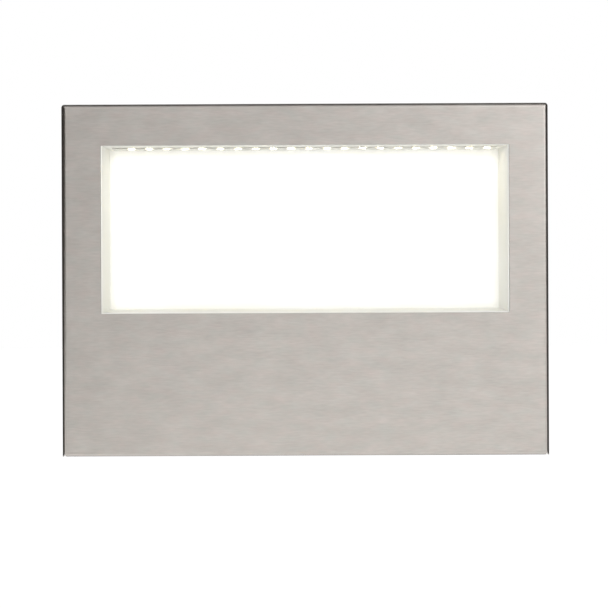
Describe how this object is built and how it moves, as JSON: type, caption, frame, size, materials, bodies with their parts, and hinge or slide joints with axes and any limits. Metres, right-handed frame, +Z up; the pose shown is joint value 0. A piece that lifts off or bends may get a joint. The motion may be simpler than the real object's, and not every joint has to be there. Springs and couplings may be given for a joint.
{
  "type": "recessed wall step light",
  "caption": "Recessed step light: brushed steel cover plate with a wide lit recess, screwed to a moulded wall box.",
  "frame": {"origin": "middle of the cover plate, on the plane of the wall, where the gasket of the wall box seals", "axes": "+X to the right seen from the front, +Y into the wall, +Z up; the light shines out towards -Y"},
  "size_m": [0.215, 0.064, 0.1554],
  "materials": {
    "cover_steel": "stainless steel, fine horizontal brushed grain, folded edges",
    "zinc_sheet": "zinc plated sheet, satin with a faint spangle",
    "screw_steel": "stainless fasteners, turned and tumbled",
    "rivet_aluminium": "blind rivets, bright",
    "white_moulding": "white moulded plastic, semi-gloss with fine texture",
    "grey_moulding": "grey moulded plastic, fine spark texture",
    "black_moulding": "black moulded plastic, fine spark texture",
    "foam": "closed-cell foam, matt",
    "rubber": "black rubber, satin",
    "thermal_pad": "grey-blue thermal tape",
    "board_white": "aluminium-backed circuit board, white solder resist",
    "board_green": "glass-fibre circuit board, green solder resist",
    "diode": "diode packages, warm white, lit",
    "resin": "clear casting resin, glossy",
    "extrusion": "mill-finish aluminium angle",
    "transformer": "yellow winding tape over a grey ferrite core",
    "capacitor": "dark sleeved cans",
    "choke": "coated ring core",
    "terminal_white": "natural nylon",
    "brass": "machined brass",
    "tinned": "tinned copper",
    "lead_red": "red insulation",
    "lead_black": "black insulation",
    "lead_brown": "brown insulation",
    "lead_blue": "blue insulation",
    "lead_earth_green": "green insulation with a yellow stripe"
  },
  "bodies": {
    "wall_box": {"wall_box": "black_moulding", "wall_gasket": "foam", "screw_inserts": "brass", "fixing_washers": "rubber", "gland_body": "black_moulding", "gland_washer": "rubber", "gland_locknut": "black_moulding", "gland_seal": "rubber", "blanking_plug": "black_moulding"},
    "light_unit": {"chassis": "zinc_sheet", "chassis_gasket": "foam", "chassis_screws": "screw_steel", "recess_liner": "white_moulding", "liner_gasket": "foam", "liner_rivets": "rivet_aluminium", "led_board": "board_white", "led_packages": "diode", "led_potting": "resin", "thermal_tape": "thermal_pad", "led_carrier": "extrusion", "led_carrier_screws": "screw_steel", "driver_base": "grey_moulding", "driver_lid": "grey_moulding", "driver_board": "board_green", "driver_transformer": "transformer", "driver_capacitors": "capacitor", "driver_choke": "choke", "driver_screws": "screw_steel", "terminal_block": "terminal_white", "terminal_barrels": "brass", "terminal_screws": "screw_steel", "terminal_fixing_screws": "screw_steel", "cord_clamp": "black_moulding", "cord_clamp_screws": "screw_steel", "earth_lug": "tinned", "earth_screw": "screw_steel", "lead_led_positive": "lead_red", "lead_led_negative": "lead_black", "lead_mains_live": "lead_brown", "lead_mains_neutral": "lead_blue", "lead_earth": "lead_earth_green"},
    "cover": {"front_cover": "cover_steel", "cover_nuts": "screw_steel"},
    "cover_screw_left": {"cover_screw_left": "screw_steel"},
    "cover_screw_right": {"cover_screw_right": "screw_steel"},
    "gland_nut": {"gland_nut": "black_moulding"}
  },
  "joints": [
    {"name": "light_unit_out", "type": "slide", "parent": "wall_box", "child": "light_unit", "axis": [0, -1, 0], "range_m": [0, 0.08]},
    {"name": "cover_off", "type": "slide", "parent": "light_unit", "child": "cover", "axis": [0, -1, 0], "range_m": [0, 0.06]},
    {"name": "cover_screw_left_turn", "type": "hinge", "parent": "cover", "child": "cover_screw_left", "pos_m": [-0.07, -0.0069, -0.0755], "axis": [0, 0, -1], "range_deg": [0, 1080]},
    {"name": "cover_screw_right_turn", "type": "hinge", "parent": "cover", "child": "cover_screw_right", "pos_m": [0.07, -0.0069, -0.0755], "axis": [0, 0, -1], "range_deg": [0, 1080]},
    {"name": "gland_nut_turn", "type": "hinge", "parent": "wall_box", "child": "gland_nut", "pos_m": [0.08, 0.0315, -0.048], "axis": [0, -1, 0], "range_deg": [0, 1440]}
  ]
}
